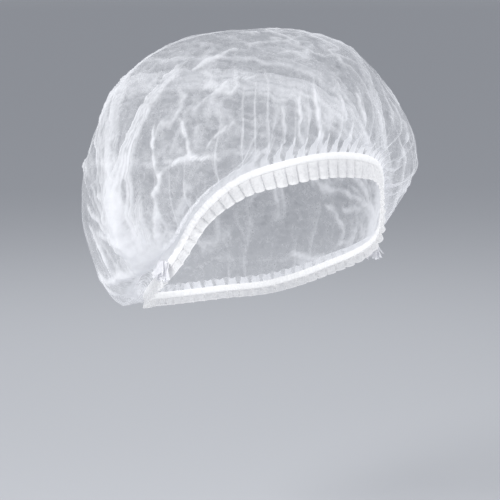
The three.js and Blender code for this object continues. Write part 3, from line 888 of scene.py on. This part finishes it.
def maths(tree, operation, *values):
    node = add_node(tree, "ShaderNodeMath", operation=operation)
    connect(tree, node, values)
    return node.outputs[0]


def place_on_piece(tree):
    return add_node(tree, "ShaderNodeTexCoord").outputs["Object"]


def noise_value(tree, scale, detail, roughness, distortion):
    node = add_node(tree, "ShaderNodeTexNoise")
    fill_in(node, {"Scale": scale, "Detail": detail, "Roughness": roughness, "Distortion": distortion})
    tree.links.new(place_on_piece(tree), node.inputs["Vector"])
    return node.outputs["Fac"]


def spread(tree, value, low, high, to_low, to_high):
    """The value with its range from low to high moved to the range between the other two."""
    node = add_node(tree, "ShaderNodeMapRange")
    fill_in(node, {"From Min": low, "From Max": high, "To Min": to_low, "To Max": to_high})
    tree.links.new(value, node.inputs["Value"])
    return node.outputs["Result"]


def mix_colours(tree, share, first, second):
    node = add_node(tree, "ShaderNodeMix", data_type="RGBA")
    fill_in(node, {"A": (*first, 1), "B": (*second, 1)})
    tree.links.new(share, node.inputs["Factor"])
    return node.outputs["Result"]


def mix_shaders(tree, share, first, second):
    node = add_node(tree, "ShaderNodeMixShader")
    connect(tree, node, (share, first, second))
    return node.outputs[0]


def add_bump(tree, shader, height, distance, strength):
    bump = add_node(tree, "ShaderNodeBump")
    fill_in(bump, {"Distance": distance, "Strength": strength})
    tree.links.new(height, bump.inputs["Height"])
    tree.links.new(bump.outputs["Normal"], shader.inputs["Normal"])


# Fibres as noise: scale, detail, roughness and distortion
CLOUDS = (85, 3.0, 0.6, 0.0)
FLECKS = (300, 3.0, 0.65, 0.8)
FIBRES = (1500, 2.0, 0.7, 2.5)
ELASTIC_FIBRES = (900, 3.0, 0.7, 1.5)
NOISE_RANGE = (0.3, 0.7)  # most of such noise lies between these

# tint, share of the light that gets past a single sheet, whether bond points show
SHEET_LOOK = ((0.92, 0.925, 0.945), 0.82, True)
HEM_LOOK = ((0.93, 0.925, 0.92), 0.45, True)
WELD_LOOK = ((0.92, 0.92, 0.94), 0.45, False)
LAYER_COVER = 5.0  # how much each extra layer covers, against the first
LEAST_COVER = 0.25
CLOUD_COVER, FLECK_COVER = 0.45, 0.65  # by how much of the first sheet they vary the cover
GLOW_SHARE = 0.45  # share of the light on the sheet that comes through to its other side
DARKER = 0.93  # tint between the flecks, against that of the flecks
FLECK_RANGE = (0.35, 0.65)
SHEET_ROUGHNESS, SHEET_ROUGH = 0.72, (0.6, 0.85)
SHEET_BUMP = (0.0004, 0.35)  # distance in metres, strength
FIBRE_BUMP = 0.5
BOND_PITCH = (("X", 0.0021), ("Y", 0.0017))  # metres along and up the sheet
BOND_EDGE = (0.45, 0.8)
BOND_DEPTH, BONDS_FADE = 0.2, (0.1, 1.0)


def bond_points(tree, layers):
    """Small pits in rows along and up the sheet, which fade where layers lie on each other."""
    sheet = add_node(tree, "ShaderNodeUVMap", uv_map="sheet").outputs["UV"]
    split = add_node(tree, "ShaderNodeSeparateXYZ")
    tree.links.new(sheet, split.inputs["Vector"])
    waves = [maths(tree, "SINE", maths(tree, "MULTIPLY", split.outputs[axis], 2 * math.pi / pitch))
             for axis, pitch in BOND_PITCH]
    bond = spread(tree, maths(tree, "MULTIPLY", *waves), *BOND_EDGE, 0.0, 1.0)
    single = spread(tree, layers, *BONDS_FADE, BOND_DEPTH, 0.0)
    return maths(tree, "MULTIPLY", bond, single)


def sheet_material(name, tint, see_through, bonds):
    """Spunbond nonwoven: cloudy fibres, pressed bond points, and cover that grows with the layers."""
    material, tree, shader = new_material(name, tint, SHEET_ROUGHNESS)
    clouds, flecks, fibres = (noise_value(tree, *kind) for kind in (CLOUDS, FLECKS, FIBRES))
    layers = add_node(tree, "ShaderNodeAttribute", attribute_name="layers").outputs["Fac"]
    uneven = maths(tree, "ADD", spread(tree, clouds, *NOISE_RANGE, -CLOUD_COVER, CLOUD_COVER),
                   spread(tree, flecks, *NOISE_RANGE, -FLECK_COVER, FLECK_COVER))
    count = maths(tree, "ADD", maths(tree, "MULTIPLY_ADD", layers, LAYER_COVER, 1.0), uneven)
    count = maths(tree, "MAXIMUM", count, LEAST_COVER)
    cover = maths(tree, "SUBTRACT", 1.0, maths(tree, "POWER", see_through, count))
    darker = [channel * DARKER for channel in tint]
    colour = mix_colours(tree, spread(tree, flecks, *FLECK_RANGE, 0, 1), darker, tint)
    tree.links.new(colour, shader.inputs["Base Color"])
    rough = spread(tree, fibres, *NOISE_RANGE, *SHEET_ROUGH)
    tree.links.new(rough, shader.inputs["Roughness"])
    height = maths(tree, "ADD", maths(tree, "MULTIPLY", fibres, FIBRE_BUMP), flecks)
    if bonds:
        height = maths(tree, "SUBTRACT", height, bond_points(tree, layers))
    add_bump(tree, shader, height, *SHEET_BUMP)
    glow = add_node(tree, "ShaderNodeBsdfTranslucent")
    fill_in(glow, {"Color": (*tint, 1)})
    cloth = mix_shaders(tree, GLOW_SHARE, shader.outputs[0], glow.outputs[0])
    clear = add_node(tree, "ShaderNodeBsdfTransparent")
    whole = mix_shaders(tree, cover, clear.outputs[0], cloth)
    tree.links.new(whole, tree.nodes["Material Output"].inputs["Surface"])
    return material


ELASTIC_TINT = (0.93, 0.925, 0.92)
ELASTIC_ROUGHNESS, ELASTIC_ROUGH = 0.6, (0.5, 0.75)
ELASTIC_BUMP = (0.0003, 0.4)


def elastic_material():
    material, tree, shader = new_material("white_elastic", ELASTIC_TINT, ELASTIC_ROUGHNESS)
    fibres = noise_value(tree, *ELASTIC_FIBRES)
    rough = spread(tree, fibres, *NOISE_RANGE, *ELASTIC_ROUGH)
    tree.links.new(rough, shader.inputs["Roughness"])
    add_bump(tree, shader, fibres, *ELASTIC_BUMP)
    return material


FLOOR_HEIGHT = -0.36
FLOOR_SIZE = 30
FLOOR_NEAR = (0.5, 0.51, 0.53)
FLOOR_FAR = (0.93, 0.93, 0.93)
FLOOR_FADE = (6, 14)  # metres from the middle
FLOOR_ROUGHNESS, FLOOR_GLOSS = 0.9, 0.1
ROOM_COLOUR, ROOM_STRENGTH = (0.9, 0.93, 1.0), 0.55


def floor_material():
    """A pale floor that grows lighter far away, where it meets the room's light."""
    material, tree, shader = new_material("pale_floor", FLOOR_NEAR, FLOOR_ROUGHNESS)
    fill_in(shader, {"Specular IOR Level": FLOOR_GLOSS})
    away = add_node(tree, "ShaderNodeVectorMath", operation="LENGTH")
    tree.links.new(place_on_piece(tree), away.inputs[0])
    far = spread(tree, away.outputs["Value"], *FLOOR_FADE, 0, 1)
    tree.links.new(mix_colours(tree, far, FLOOR_NEAR, FLOOR_FAR), shader.inputs["Base Color"])
    return material


def build_stage():
    half = FLOOR_SIZE / 2
    square = ((-half, -half), (half, -half), (half, half), (-half, half))
    corners = [(x, y, FLOOR_HEIGHT) for x, y in square]
    floor = make_mesh("floor", corners, [(0, 1, 2, 3)])
    floor.data.materials.append(floor_material())
    world = bpy.data.worlds.new("soft_room")
    bpy.context.scene.world = world
    world.use_nodes = True
    fill_in(world.node_tree.nodes["Background"], {"Color": (*ROOM_COLOUR, 1), "Strength": ROOM_STRENGTH})


# name, azimuth and elevation in degrees, distance and size in metres, watts
LIGHTS = [
    ("key", -78, 32, 1.5, 0.45, 14),
    ("fill", 22, 18, 1.5, 0.6, 11),
    ("back", 150, 40, 1.5, 0.8, 6),
    ("low", -78, -8, 1.2, 0.5, 3.5),
]
LIGHTS_AIM = (0, 0, -0.09)


def direction(azimuth, elevation):
    turn, rise = math.radians(azimuth), math.radians(elevation)
    return Vector((math.sin(turn) * math.cos(rise), -math.cos(turn) * math.cos(rise), math.sin(rise)))


def build_lights():
    for name, azimuth, elevation, distance, size, watts in LIGHTS:
        light = bpy.data.lights.new(name, "AREA")
        light.shape = "DISK"
        light.size = size
        light.energy = watts
        holder = bpy.data.objects.new(name, light)
        towards = direction(azimuth, elevation)
        holder.location = Vector(LIGHTS_AIM) + towards * distance
        holder.rotation_euler = towards.to_track_quat("Z", "Y").to_euler()
        holder.visible_camera = False
        bpy.context.scene.collection.objects.link(holder)


# The photo's view: its angles, the width that its frame spans at the cap, and where the cap's top sits
VIEW_AZIMUTH = -37
VIEW_ELEVATION = 8
VIEW_DISTANCE = 2.2
FRAME_WIDTH = 0.345
AIM_RIGHT = 0.0055
AIM_BELOW_TOP = 0.1538
SENSOR = 36
CLIP_END = 100
SHEETS_SEEN = 24  # how many thin sheets a ray may pass on its way


def build_camera():
    back = direction(VIEW_AZIMUTH, VIEW_ELEVATION)
    turn = back.to_track_quat("Z", "Y")
    right, up = turn @ Vector((1, 0, 0)), turn @ Vector((0, 1, 0))
    aim = Vector((0, 0, TOP_ABOVE_SEAT)) + right * AIM_RIGHT - up * AIM_BELOW_TOP
    camera = bpy.data.cameras.new("camera")
    camera.sensor_width = SENSOR
    camera.lens = SENSOR * VIEW_DISTANCE / FRAME_WIDTH
    camera.clip_end = CLIP_END
    holder = bpy.data.objects.new("camera", camera)
    holder.location = aim + back * VIEW_DISTANCE
    holder.rotation_euler = turn.to_euler()
    bpy.context.scene.collection.objects.link(holder)
    bpy.context.scene.camera = holder


def settle(piece, material, node):
    piece.data.materials.append(material)
    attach(piece, "root")
    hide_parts(node)


def build_cap():
    crown = build_crown()
    band = build_band()
    frill = build_frill()
    tufts = [build_tuft("tuft_left", 1), build_tuft("tuft_right", -1)]
    settle(crown, sheet_material("spunbond_sheet", *SHEET_LOOK), "crown")
    settle(band, elastic_material(), "elastic_band")
    settle(frill, sheet_material("pleated_hem", *HEM_LOOK), "frill")
    welded = sheet_material("welded_pleats", *WELD_LOOK)
    for tuft, node in zip(tufts, ("weld_tuft_left", "weld_tuft_right")):
        settle(tuft, welded, node)


build_cap()
build_stage()
build_lights()
build_camera()
scene = bpy.context.scene
scene.view_settings.view_transform = "Standard"
scene.cycles.transparent_max_bounces = SHEETS_SEEN
